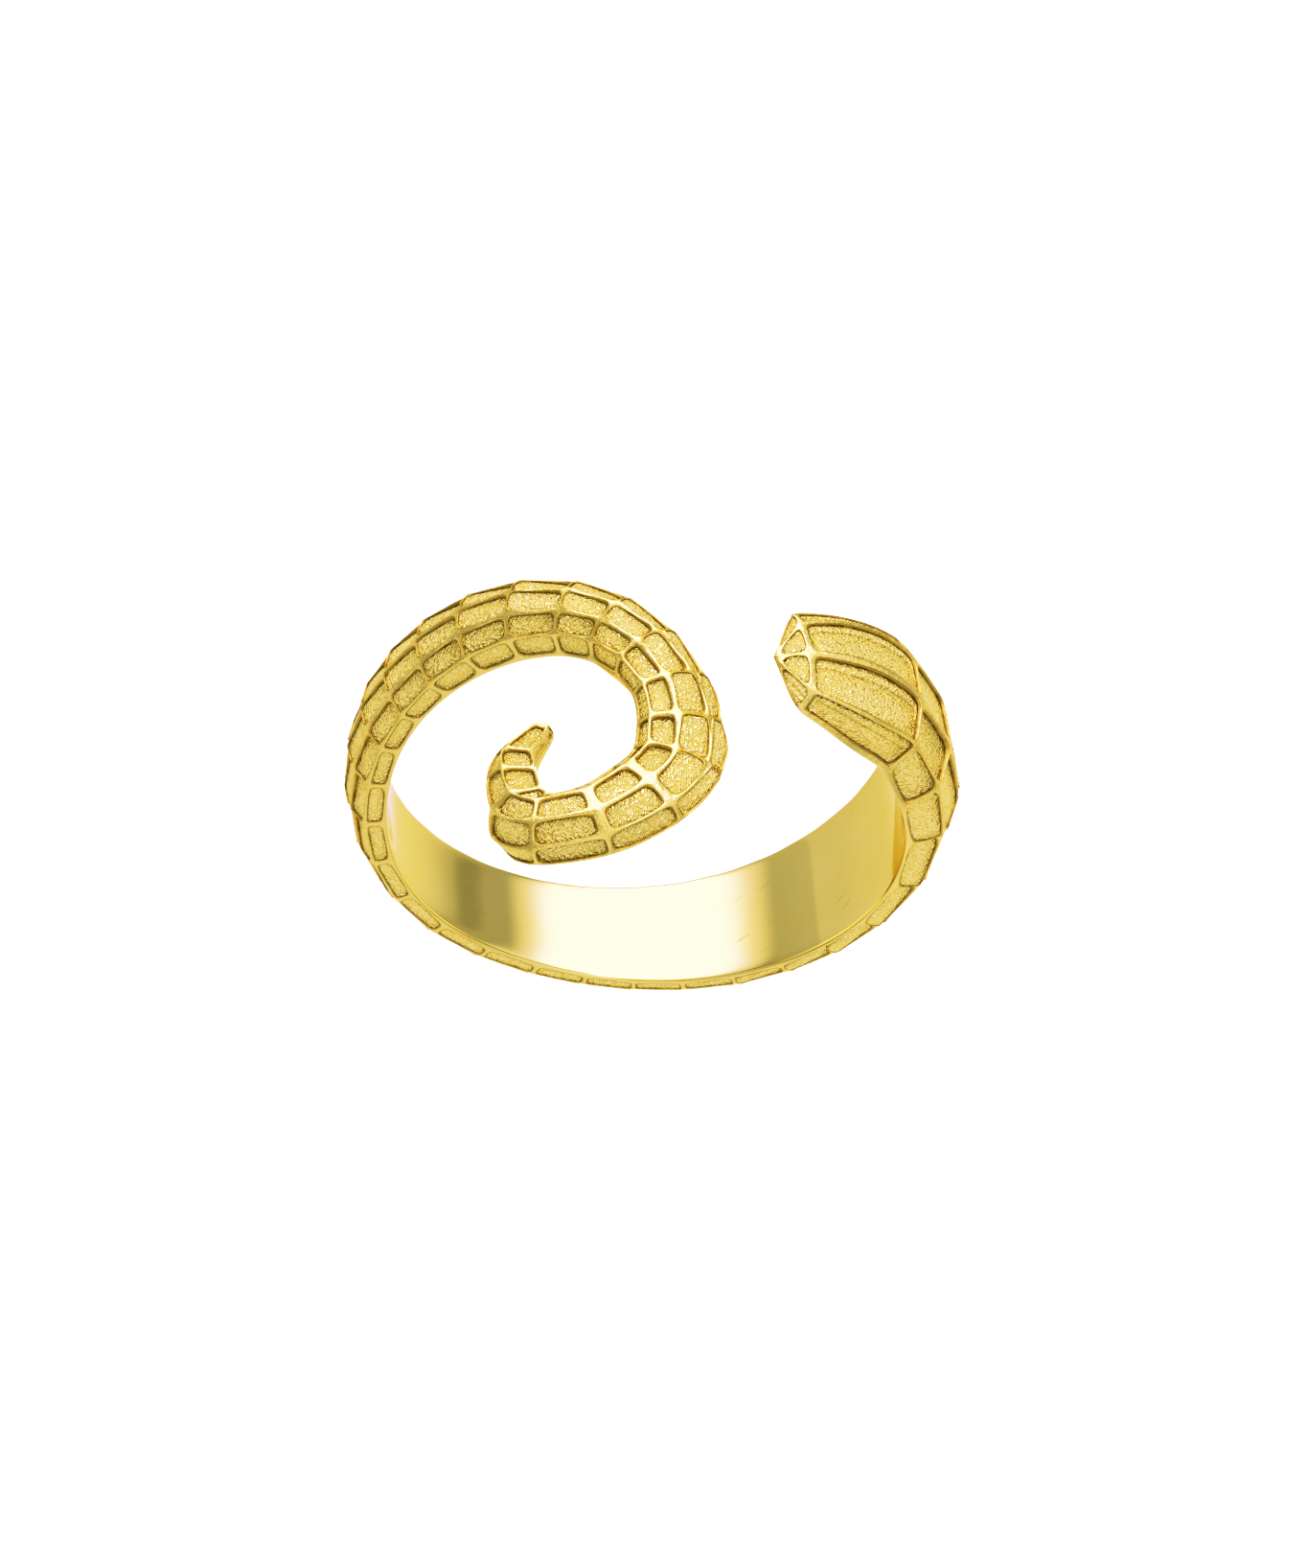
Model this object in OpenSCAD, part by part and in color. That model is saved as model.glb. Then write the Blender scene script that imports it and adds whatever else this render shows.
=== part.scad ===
/* [Finger] */
// Inner diameter of the finger hole
finger_d = 17; // [16:0.25:19]
/* [Tail] */
// How far the crown of a rib stands above the edge of a panel
rib_rise = 0.06; // [0.02:0.01:0.1]
// Half width of the ribs, as a share of the table's
rib_share = 1; // [0.7:0.05:1.2]
// Depth of the panels between the ribs
panel_depth = 0.13; // [0.05:0.01:0.18]
// How far a panel's wall leans inwards
panel_lean = 0.05; // [0.02:0.01:0.08]
// Length of the cut across each corner of a panel
corner_cut = 0.16; // [0.05:0.01:0.2]
/* [Ends] */
// How far the point of the end cap stands out
cap_rise = 0.82; // [0.3:0.02:1]
// Share of a cap facet that its rib takes on each side
cap_rib = 0.1; // [0.06:0.01:0.16]
/* [Hidden] */

finger_r = finger_d / 2;
// From this rib on the tail touches the finger: its inner face dips below the wall of the
// finger hole by this much before the hole is cut
first_touch = 10;
dip = 0.3;
// In the curl the inner face is sunk by this much between the rims
sink = 0.04;
// Least distance of a rim, and of the curl's inner face, from the wall of the finger hole
rim_clear = 0.15;
curl_clear = 0.1;
// Height of the finger hole's cut, and how far it starts below the table
hole_h = 40;
hole_below = 10;
// Sides of the finger hole's circle
hole_sides = 96;

// Names of the columns of the table of sections
RIB = 0;
TURN = 1;
RISE = 2;
LIFT = 3;
WIDE = 4;
THICK = 5;
ROLL = 6;
FORM = 7;
HALF = 8;

// Sections of the tail, from the tip of the curl to the cut end.
// rib: number of the rib that the section is at, counted along the tail.
// turn: degrees round the finger. rise: height of the section's middle above the table.
// lift: clearance between finger and section. wide, thick: size of the section.
// roll: degrees that the section leans into the curl.
// form: 1 is the curl's section, 0 the band's and -1 the cut end's.
// half: half width of the ribs.
//   rib  turn    rise   lift  wide  thick  roll  form  half
sections = [
    [ 0,  -71.2,  6.8,  0.3,  0.5,  0.95,  -62,  1,    0.1],
    [ 1,  -66.3,  7.85, 0.15, 1.75, 1.95,  -57,  1,    0.12],
    [ 2,  -65.3,  9.05, 0.25, 2.05, 2.35,  -43,  0.9,  0.13],
    [ 3,  -65.7, 10.45, 0.5,  2.55, 2.25,  -36,  0.75, 0.15],
    [ 4,  -69.8, 11.2,  0.5,  2.5,  2,     -29,  0.5,  0.2],
    [ 5,  -80.7, 11.25, 0.4,  2.7,  1.8,   -23,  0.65, 0.28],
    [ 6,  -91.2, 10.2,  0.2,  3.05, 1.7,   -13,  0.7,  0.25],
    [ 7,  -97.8,  8.85, 0.15, 3.05, 1.45,   -4,  0.65, 0.2],
    [ 9,  -97.5,  5.95, 0.4,  2.8,  1.4,    -9,  0.4,  0.19],
    [11,  -86.5,  3.3,  0.05, 2.5,  2.1,    -1,  0.25, 0.14],
    [13,  -67.2,  2.1,  0.15, 2.75, 2.2,     0,  0.25, 0.12],
    [16,  -34.5,  1.7,  0,    3.25, 2,       0,  0,    0.12],
    [20,   10,    2.1,  0,    3.9,  1.9,     0,  0,    0.12],
    [24,   62.6,  2.15, 0,    4.1,  1.6,     0,  0,    0.12],
    [28,  107.5,  2.45, 0,    4.9,  1.5,     0,  0,    0.12],
    [31,  144.7,  2.65, 0,    5.65, 2,       0, -0.25, 0.12],
    [33,  178.5,  3,    0,    5.9,  2.6,     0, -0.75, 0.12],
    [34,  191.7,  3.1,  0,    6,    2.75,    0, -1,    0.12],
    [35,  204.2,  3.1,  0,    5.5,  2.75,    0, -1,    0.13],
    [35.5, 219.5, 3.6,  0,    5.3,  2.35,    0, -1,    0.13],
    [36,  235.2,  3.7,  0,    4.15, 1.6,     0, -1,    0.14]
];

// Angles of the six ridges round the oval of a section: from the front rim over the
// outside to the back rim
//              front                       back
band_ridges = [203,  157, 120, 86, 42, -24];
curl_ridges = [187,  128,  84, 29, -5, -46];
neck_ridges = [203,  139, 101, 65, 38, -25];
// Sine of the angle at which the band's rims sit below the middle of the oval
rim_drop = 0.42;
// Share of the last stretch that the back rim falls short of the cut end
back_cut = 0.13;
// Most that a rib rises in a small cell, as a share of the cell's size
small_cell = 0.08;
// Most that a rib takes of a cell on one side, and that a rib and a corner cut take together
most_rib = 0.3;
most_corner = 0.4;

ridges = 6;
rows = ridges - 1;
ribs = sections[len(sections) - 1][RIB];
// Pieces that a stretch between two ribs is bent in: more in the hooked tip, round the
// bend of the curl, and in the last and longest stretch before the cut end
tip_steps = 3;
bend_steps = 2;
neck_steps = 4;
bend_from = 4;
bend_to = 9;
function steps(i) =
    i == 0 ? tip_steps : i == ribs - 1 ? neck_steps : i >= bend_from && i <= bend_to ? bend_steps : 1;

// Row of the table that a place on the tail comes after
function section_before(u, j = 0) =
    j >= len(sections) - 2 || u < sections[j + 1][RIB] ? j : section_before(u, j + 1);
// How a column changes from rib to rib at row j
function slope(j, col) =
    let (a = max(j - 1, 0), b = min(j + 1, len(sections) - 1))
    (sections[b][col] - sections[a][col]) / (sections[b][RIB] - sections[a][RIB]);
// Smooth value of a column at place u, in ribs from the tip
function at(u, col) =
    let (
        j = section_before(u),
        span = sections[j + 1][RIB] - sections[j][RIB],
        t = (u - sections[j][RIB]) / span
    )
    (2 * t ^ 3 - 3 * t ^ 2 + 1) * sections[j][col]
    + (t ^ 3 - 2 * t ^ 2 + t) * span * slope(j, col)
    + (3 * t ^ 2 - 2 * t ^ 3) * sections[j + 1][col]
    + (t ^ 3 - t ^ 2) * span * slope(j + 1, col);

function unit(v) = v / norm(v);
// Moves a point straight out to at least r from the middle of the finger, or to exactly r
function out_to(p, r) =
    let (far = norm([p.x, p.y]), grow = max(r / far, 1))
    [p.x * grow, p.y * grow, p.z];
function onto(p, r) =
    let (far = norm([p.x, p.y]))
    [p.x / far * r, p.y / far * r, p.z];
// Point of the path that the tail's inner face follows, and the way out from the finger
function path(u) =
    let (turn = at(u, TURN), r = finger_r + at(u, LIFT))
    [r * cos(turn), r * sin(turn), at(u, RISE)];
function outward(u) = [cos(at(u, TURN)), sin(at(u, TURN)), 0];
// Way along the tail, taken over this many ribs on each side
look = 1;
function along(u) = unit(path(min(u + look, ribs)) - path(max(u - look, 0)));

// Angle of ridge k in the section at place u
function ridge_angle(u, k) =
    let (form = at(u, FORM), curl = max(form, 0), neck = max(-form, 0))
    band_ridges[k] * (1 - curl - neck) + curl_ridges[k] * curl + neck_ridges[k] * neck;

// Ridge k of the section at place u. The lower edges of the rims, towards the finger, are
// k = -1 and k = ridges.
function ridge(u, k) =
    let (
        way = along(u),
        out = unit(outward(u) - way * (outward(u) * way)),
        side = cross(way, out),
        a = ridge_angle(u, min(max(k, 0), rows)),
        roll = at(u, ROLL),
        half_wide = at(u, WIDE) / 2,
        half_thick = at(u, THICK) / 2,
        up = out * cos(roll) - side * sin(roll),
        point = path(u) + out * half_thick * rim_drop
            + (side * cos(roll) + out * sin(roll)) * half_wide * cos(a)
            + up * half_thick * sin(a)
    )
    k >= 0 && k < ridges ? out_to(point, finger_r + rim_clear)
        : u < first_touch ? out_to(point - up * sink, finger_r + curl_clear)
        : onto(point, finger_r - dip);

// Points of the ridges' crowns and the rims' lower edges, a line for each step of the tail
lines = [for (i = [0:ribs - 1]) for (j = [0:steps(i) - 1]) i + j / steps(i), ribs];
line_starts = [for (i = 0, l = 0; i < ribs; l = l + steps(i), i = i + 1) l];
function first_line(i) = line_starts[i];
across = ridges + 2;
crowns = [for (u = lines) for (k = [-1:ridges])
    ridge(k < rows ? u : min(u, ribs - back_cut), k)];
function crown(line, k) = line * across + k + 1;

// A point of the cell's skin between ribs i, i + 1 and ridges k, k + 1. s runs along the
// tail and t across, from 0 to 1. Negative depth stands out.
function skin(i, k, s, t, depth) =
    let (
        m = steps(i),
        j = min(floor(s * m), m - 1),
        f = s * m - j,
        l = first_line(i) + j,
        a = crowns[crown(l, k)], b = crowns[crown(l + 1, k)],
        c = crowns[crown(l, k + 1)], d = crowns[crown(l + 1, k + 1)],
        low = a + (b - a) * f, high = c + (d - c) * f,
        normal = unit(cross((b + d) - (a + c), (c + d) - (a + b)))
    )
    low + (high - low) * t + normal * depth;

// Rings of a cell: the ridge and rib lines, the edge of the panel and its floor.
// Each is listed as its lower side, its upper side and its two ends.
function cell_size(i, k) =
    let (
        l = first_line(i),
        n = l + steps(i),
        a = crowns[crown(l, k)], b = crowns[crown(n, k)],
        c = crowns[crown(l, k + 1)], d = crowns[crown(n, k + 1)]
    )
    [norm(b + d - a - c) / 2, norm(c + d - a - b) / 2];
function side_places(i, es, cut) =
    let (m = steps(i))
    [for (j = [0:m]) j == 0 ? es + cut : j == m ? 1 - es - cut : j / m];
function panel_ring(i, k, inset, cut, depth) =
    let (
        size = cell_size(i, k),
        es = min(inset / size[0], most_rib),
        et = min(inset / size[1], most_rib),
        cs = min(cut / size[0], most_corner - es),
        ct = min(cut / size[1], most_corner - et)
    )
    concat(
        [for (s = side_places(i, es, cs)) skin(i, k, s, et, depth)],
        [for (s = side_places(i, es, cs)) skin(i, k, s, 1 - et, depth)],
        [skin(i, k, es, et + ct, depth), skin(i, k, es, 1 - et - ct, depth)],
        [skin(i, k, 1 - es, et + ct, depth), skin(i, k, 1 - es, 1 - et - ct, depth)]
    );

// Faces of one cell. p is the number of its first panel point.
function quad(a, b, c, d) = [[a, b, c], [a, c, d]];
function flat(groups) = [for (g = groups) for (face = g) face];
function cell_faces(i, k, p) =
    let (
        m = steps(i),
        n = 2 * (m + 1) + 4,
        l = first_line(i),
        edge = function (j) p + j,
        edge_up = function (j) p + m + 1 + j,
        end = p + 2 * (m + 1)
    )
    flat(concat(
        [for (j = [0:m - 1]) quad(crown(l + j, k), crown(l + j + 1, k), edge(j + 1), edge(j))],
        [for (j = [0:m - 1])
            quad(edge_up(j), edge_up(j + 1), crown(l + j + 1, k + 1), crown(l + j, k + 1))],
        [quad(crown(l, k), end, end + 1, crown(l, k + 1))],
        [quad(end + 2, crown(l + m, k), crown(l + m, k + 1), end + 3)],
        [[[crown(l, k), edge(0), end], [end + 1, edge_up(0), crown(l, k + 1)]]],
        [[[edge(m), crown(l + m, k), end + 2], [end + 3, crown(l + m, k + 1), edge_up(m)]]],
        // Wall of the panel
        [for (j = [0:m - 1]) quad(edge(j), edge(j + 1), edge(j + 1) + n, edge(j) + n)],
        [for (j = [0:m - 1])
            quad(edge_up(j) + n, edge_up(j + 1) + n, edge_up(j + 1), edge_up(j))],
        [quad(end, end + n, end + 1 + n, end + 1)],
        [quad(end + 2 + n, end + 2, end + 3, end + 3 + n)],
        [quad(edge(0), edge(0) + n, end + n, end)],
        [quad(end + 1, end + 1 + n, edge_up(0) + n, edge_up(0))],
        [quad(edge(m) + n, edge(m), end + 2, end + 2 + n)],
        [quad(end + 3 + n, end + 3, edge_up(m), edge_up(m) + n)],
        // Floor of the panel
        [for (j = [0:m - 1])
            quad(edge(j) + n, edge(j + 1) + n, edge_up(j + 1) + n, edge_up(j) + n)],
        [quad(edge(0) + n, edge_up(0) + n, end + 1 + n, end + n)],
        [quad(edge(m) + n, end + 2 + n, end + 3 + n, edge_up(m) + n)]
    ));

cells = [for (i = [0:ribs - 1]) for (k = [0:rows - 1]) [i, k]];
function cell_points(i, k) =
    let (half = at(i + 0.5, HALF) * rib_share, small = min(cell_size(i, k)) * small_cell)
    concat(
        panel_ring(i, k, half, corner_cut, -min(rib_rise, small)),
        panel_ring(i, k, half + panel_lean, corner_cut, -min(rib_rise + panel_depth, 2 * small))
    );
function points_in(i) = 4 * (steps(i) + 1) + 8;
// Number of the first panel point of each cell
function cell_starts(first) =
    [for (c = 0, p = first; c < len(cells); p = p + points_in(cells[c][0]), c = c + 1) p];

// The tail's tip closes on one point that lies this far before its first section
tip_reach = 0.15;
tip_point = path(0) + outward(0) * at(0, THICK) * rim_drop - along(0) * tip_reach;
// The cut end is a low pyramid of sunk facets. Its apex lies this share of half a thickness
// further out than the rims, and a facet's wall takes this much of its rib's width.
apex_out = 0.3;
cap_wall = 0.3;
end_line = len(lines) - 1;
end_middle = path(ribs) + outward(ribs) * at(ribs, THICK) / 2 * (rim_drop + apex_out);
cap_point = end_middle + along(ribs) * cap_rise;
function cap_corner(k) = crowns[crown(end_line, k > rows ? 0 : k)];
function cap_ring(k, share, depth) =
    let (
        a = cap_corner(k),
        b = cap_corner(k + 1),
        middle = (a + b + cap_point) / 3,
        normal = unit(cross(cap_point - a, b - a))
    )
    [for (p = [a, b, cap_point]) p + (middle - p) * share * 3 + normal * depth];
function cap_points(k) =
    concat(cap_ring(k, cap_rib, 0), cap_ring(k, cap_rib * (1 + cap_wall), -panel_depth / 2));
function cap_faces(k, p, apex) =
    let (a = crown(end_line, k), b = crown(end_line, k == rows ? 0 : k + 1))
    flat([
        quad(b, a, p, p + 1), quad(apex, b, p + 1, p + 2), quad(a, apex, p + 2, p),
        quad(p + 1, p, p + 3, p + 4), quad(p + 2, p + 1, p + 4, p + 5),
        quad(p, p + 2, p + 5, p + 3), [[p + 5, p + 4, p + 3]]
    ]);

module tail() {
    panel_first = len(crowns);
    starts = cell_starts(panel_first);
    panels = [for (c = cells) for (p = cell_points(c[0], c[1])) p];
    cap_first = panel_first + len(panels);
    caps = [for (k = [0:rows]) for (p = cap_points(k)) p];
    tip = cap_first + len(caps);
    apex = tip + 1;
    under = [for (l = [0:end_line - 1]) each concat(
        quad(crown(l, -1), crown(l + 1, -1), crown(l + 1, 0), crown(l, 0)),
        quad(crown(l, rows), crown(l + 1, rows), crown(l + 1, ridges), crown(l, ridges)),
        quad(crown(l, ridges), crown(l + 1, ridges), crown(l + 1, -1), crown(l, -1))
    )];
    tip_faces = [for (k = [-1:ridges])
        [crown(0, k), crown(0, k == ridges ? -1 : k + 1), tip]];
    end_faces = concat(
        [for (k = [0:rows]) each cap_faces(k, cap_first + 6 * k, apex)],
        quad(crown(end_line, 0), crown(end_line, -1), crown(end_line, ridges),
            crown(end_line, rows))
    );
    faces = concat(
        [for (c = [0:len(cells) - 1]) each cell_faces(cells[c][0], cells[c][1], starts[c])],
        under, tip_faces, end_faces
    );
    polyhedron(concat(crowns, panels, caps, [tip_point, cap_point]), faces);
}

module finger_hole() {
    translate([0, 0, -hole_below])
        cylinder(r = finger_r, h = hole_h, $fn = hole_sides);
}

module ring() {
    color("gold")
        difference() {
            tail();
            finger_hole();
        }
}

ring();
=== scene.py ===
from math import atan2, cos, hypot, pi, radians, sin

import bmesh
import bpy
from mathutils import Matrix, Vector
from mathutils.noise import noise


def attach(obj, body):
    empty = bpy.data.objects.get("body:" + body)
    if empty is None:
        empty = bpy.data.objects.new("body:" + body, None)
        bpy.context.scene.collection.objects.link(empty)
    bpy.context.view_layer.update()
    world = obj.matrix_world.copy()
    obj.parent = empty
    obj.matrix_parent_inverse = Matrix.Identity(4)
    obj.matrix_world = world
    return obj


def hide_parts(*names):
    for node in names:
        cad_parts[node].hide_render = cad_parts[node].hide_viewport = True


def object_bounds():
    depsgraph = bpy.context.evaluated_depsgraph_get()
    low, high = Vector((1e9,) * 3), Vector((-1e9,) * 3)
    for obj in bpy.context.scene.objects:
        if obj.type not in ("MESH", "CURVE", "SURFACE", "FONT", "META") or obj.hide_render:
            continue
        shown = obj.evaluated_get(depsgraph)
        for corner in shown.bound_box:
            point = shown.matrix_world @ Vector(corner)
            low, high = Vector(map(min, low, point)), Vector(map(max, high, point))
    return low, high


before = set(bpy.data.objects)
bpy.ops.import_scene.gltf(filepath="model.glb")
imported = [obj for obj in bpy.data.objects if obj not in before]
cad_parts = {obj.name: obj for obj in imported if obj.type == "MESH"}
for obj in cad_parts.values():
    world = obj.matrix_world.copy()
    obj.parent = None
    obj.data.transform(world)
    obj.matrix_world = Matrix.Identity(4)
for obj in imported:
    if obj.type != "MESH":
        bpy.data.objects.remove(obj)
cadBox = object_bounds()
print("frame loaded")

# Everything is drawn in millimetres and made small when it is finished
millimetre = 0.001

# Places nearer than this are taken as one
near = 1e-4

# In what follows u is a place along the tail, counted in ribs from the tip of the curl to the cut
# end, i the stretch after a rib, and k a ridge counted from the front, or the row of panels behind
# it. s and t run from 0 to 1 along and across a panel.
tail = {
    "fingerRadius": 8.5,
    "ribs": 36,
    "rows": 5,                # rows of panels, between six ridges
    "firstTouch": 10,         # rib from which the tail touches the finger
    "bentTo": 9,              # stretches before this rib follow the curve of the curl
    "pieces": 2,              # pieces that a stretch is drawn in,
    "tipPieces": 3,           # the first one,
    "neckPieces": 8,          # and the last one
    "rimClear": 0.15,         # least distance of a rim from the finger wall
    "curlClear": 0.1,         # and of the curl's finger side
    "sink": 0.04,             # how far the curl's finger side lies below its rims
    "rimDrop": 0.42,          # how far a section stands out from the course, in half thicknesses
    "backCut": 0.13,          # how far the back edge ends short of the cut end, in ribs
    "tipReach": 0.15,         # how far the tip's point stands beyond the first section
    "apexOut": 0.05,          # how far the apex of the cut end stands out, in half thicknesses,
    "apexFront": 0.32,        # towards the front face,
    "capRise": 0.82,          # and beyond the last section
    "wallLines": 2,           # lines along the finger wall
    "grooveAt": (0.3, 0.5),   # lines of the groove between the front edge and the first ridge
    "grooveDeep": (0.08, 0.0),
    "grooveFull": 12,         # rib from which it has its full depth
    "clawTo": 1.9,            # rib to which the finger side is grained
    "clawMapTo": 2.4,         # and to which its grain is laid
    "clawShade": 0.85,        # painted shade of that side, darkened as if it lay in shade
    "bow": (0, 2, 9, 15, 3, 0),   # degrees by which the ridges of the last stretch bow out
    "shift": {                # degrees by which a ridge stands nearer the front face, at ribs
        2: ((0, 0), (35, 0), (36, -6)),
        3: ((0, 0), (4, 0), (5, 7), (6, 6), (7, 0), (35, 0), (36, -6)),
    },
    "bulge": {                # how far a ridge stands out further, at ribs
        1: ((0, 0), (31, 0), (32, 0.04), (33, 0.1), (34, 0), (36, 0)),
        2: ((0, 0), (31, 0), (32, 0.1), (33, 0.22), (34, 0.12), (35, 0.03), (36, 0)),
        3: ((0, 0), (31, 0), (33, 0.15), (34, 0.15), (35, 0.1), (36, 0)),
        4: ((0, 0), (7, 0), (7.5, 0.18), (8, -0.1), (8.5, 0.05), (9, -0.09), (10, -0.04), (11, 0)),
    },
    "ridges": {               # degrees round the section at which the ridges stand
        "band": (203, 157, 120, 86, 42, -24),
        "curl": (187, 128, 84, 29, -5, -46),
        "neck": (203, 139, 101, 65, 38, -25),
    },
    # The course. Turn round the finger and roll are in degrees, rise is above the floor, lift from
    # the finger wall, and form goes from 1 in the curl to -1 in the neck.
    "columns": ("rib", "turn", "rise", "lift", "wide", "thick", "roll", "form"),
    "sections": (
        (0, -71.2, 6.8, 0.3, 0.5, 0.95, -62, 1),
        (1, -66.3, 7.85, 0.15, 1.75, 1.95, -57, 1),
        (2, -65.3, 9.05, 0.25, 2.05, 2.35, -43, 0.9),
        (3, -65.7, 10.45, 0.5, 2.55, 2.25, -36, 0.75),
        (4, -69.8, 11.2, 0.5, 2.5, 2, -29, 0.5),
        (5, -80.7, 11.25, 0.4, 2.7, 1.8, -23, 0.65),
        (6, -91.2, 10.2, 0.2, 3.05, 1.7, -13, 0.7),
        (7, -97.8, 8.85, 0.15, 3.05, 1.45, -4, 0.65),
        (9, -97.5, 5.95, 0.4, 2.8, 1.4, -9, 0.4),
        (11, -86.5, 3.3, 0.05, 2.5, 2.1, -1, 0.25),
        (13, -67.2, 2.1, 0.15, 2.75, 2.2, 0, 0.25),
        (16, -34.5, 1.7, 0, 3.25, 2, 0, 0),
        (20, 10, 2.1, 0, 3.9, 1.9, 0, 0),
        (24, 62.6, 2.15, 0, 4.1, 1.6, 0, 0),
        (28, 107.5, 2.45, 0, 4.9, 1.5, 0, 0),
        (31, 144.7, 2.65, 0, 5.65, 2, 0, -0.25),
        (33, 178.5, 3, 0, 5.9, 2.6, 0, -0.75),
        (34, 191.7, 3.1, 0, 6, 2.75, 0, -1),
        (35, 204.2, 3.1, 0, 5.5, 2.75, 0, -1),
        (35.5, 219.5, 3.6, 0, 5.3, 2.35, 0, -1),
        (36, 235.2, 3.7, 0, 4.15, 1.6, 0, -1),
    ),
}


def sectionSlope(j, column):
    rows = tail["sections"]
    before, after = rows[max(j - 1, 0)], rows[min(j + 1, len(rows) - 1)]
    return (after[column] - before[column]) / (after[0] - before[0])


def sectionAt(u, name):
    # a smooth curve through the values of a column
    rows, column = tail["sections"], tail["columns"].index(name)
    j = max(i for i in range(len(rows) - 1) if i == 0 or rows[i][0] <= u)
    span = rows[j + 1][0] - rows[j][0]
    x = (u - rows[j][0]) / span
    return ((2 * x ** 3 - 3 * x ** 2 + 1) * rows[j][column]
            + (x ** 3 - 2 * x ** 2 + x) * span * sectionSlope(j, column)
            + (3 * x ** 2 - 2 * x ** 3) * rows[j + 1][column]
            + (x ** 3 - x ** 2) * span * sectionSlope(j + 1, column))


def valueAt(pairs, u):
    # straight lines between pairs of a place and its value
    for (a, low), (b, high) in zip(pairs, pairs[1:]):
        if u <= b:
            return low + (high - low) * (u - a) / (b - a)
    return pairs[-1][1]


def outwardAt(u):
    turn = radians(sectionAt(u, "turn"))
    return Vector((cos(turn), sin(turn), 0))


def pathPoint(u):
    out = outwardAt(u) * (tail["fingerRadius"] + sectionAt(u, "lift"))
    return Vector((out.x, out.y, sectionAt(u, "rise")))


def alongAt(u):
    return (pathPoint(min(u + 1, tail["ribs"])) - pathPoint(max(u - 1, 0))).normalized()


def pushOut(p, radius):
    grow = max(radius / hypot(p.x, p.y), 1)
    return Vector((p.x * grow, p.y * grow, p.z))


def ontoWall(p):
    grow = tail["fingerRadius"] / hypot(p.x, p.y)
    return Vector((p.x * grow, p.y * grow, p.z))


def ridgeAngle(u, n):
    form = sectionAt(u, "form")
    curl, neck = max(form, 0), max(-form, 0)
    sets = tail["ridges"]
    angle = sets["band"][n] * (1 - curl - neck) + sets["curl"][n] * curl + sets["neck"][n] * neck
    if u > tail["ribs"] - 1:
        angle -= tail["bow"][n] * sin(pi * (u - tail["ribs"] + 1))
    if n in tail["shift"]:
        angle += valueAt(tail["shift"][n], u)
    return radians(angle)


def ridgePoint(u, k):
    # -1 and 6 stand for the edges of the finger side
    last = tail["rows"]
    if k >= last:
        u = min(u, tail["ribs"] - tail["backCut"])
    n = min(max(k, 0), last)
    way, outward = alongAt(u), outwardAt(u)
    out = (outward - way * outward.dot(way)).normalized()
    side = way.cross(out)
    angle, roll = ridgeAngle(u, n), radians(sectionAt(u, "roll"))
    halfWide, halfThick = sectionAt(u, "wide") / 2, sectionAt(u, "thick") / 2
    up = out * cos(roll) - side * sin(roll)
    across = side * cos(roll) + out * sin(roll)
    fromMiddle = across * halfWide * cos(angle) + up * halfThick * sin(angle)
    p = pathPoint(u) + out * halfThick * tail["rimDrop"] + fromMiddle
    if n in tail["bulge"]:
        p += fromMiddle.normalized() * valueAt(tail["bulge"][n], u)
    if 0 <= k <= last:
        return pushOut(p, tail["fingerRadius"] + tail["rimClear"])
    if u < tail["firstTouch"]:
        return pushOut(p - up * tail["sink"], tail["fingerRadius"] + tail["curlClear"])
    return ontoWall(p)


def piecesAfter(i):
    if i == 0:
        return tail["tipPieces"]
    return tail["neckPieces"] if i == tail["ribs"] - 1 else tail["pieces"]


def isBent(i):
    return i < tail["bentTo"] or i == tail["ribs"] - 1


crowns = {}
crownSteps = 480              # places in a stretch at which the ridges' points are kept


def crown(u, k):
    # the line of a ridge, straight between two ribs or bent with the curl
    key = (round(u * crownSteps), k)
    if key not in crowns:
        i = min(int(u + near), tail["ribs"] - 1)
        p = ridgePoint(u, k)
        if near < u - i < 1 - near and not isBent(i):
            p = ridgePoint(i, k).lerp(ridgePoint(i + 1, k), u - i)
            if not 0 <= k <= tail["rows"] and u >= tail["firstTouch"]:
                p = ontoWall(p)
        crowns[key] = p
    return crowns[key]


# Lines round a section: the front edge of the finger side, two lines of the groove beside it, the
# first ridge, then a middle line and a ridge for each row, the back edge, and the finger side's lines
frontEdge = 0
firstRidge = 3
backEdge = firstRidge + 1 + 2 * tail["rows"]
lineCount = backEdge + 1 + tail["wallLines"]
endPoint = -1                 # stands for the point that closes an end


def sectionPoint(u, line):
    rows = tail["rows"]
    if line == frontEdge:
        return crown(u, -1)
    if line < firstRidge:
        rim = crown(u, -1).lerp(crown(u, 0), tail["grooveAt"][line - 1])
        out = crown(u, 0) - crown(u, 1)
        deep = tail["grooveDeep"][line - 1] * min(u / tail["grooveFull"], 1)
        return rim - out.normalized() * deep
    if line < backEdge:
        k, middle = divmod(line - firstRidge, 2)
        return crown(u, k).lerp(crown(u, k + 1), 0.5) if middle else crown(u, k)
    p = crown(u, rows + 1).lerp(crown(u, -1), (line - backEdge) / (tail["wallLines"] + 1))
    return ontoWall(p) if u >= tail["firstTouch"] else p


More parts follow.
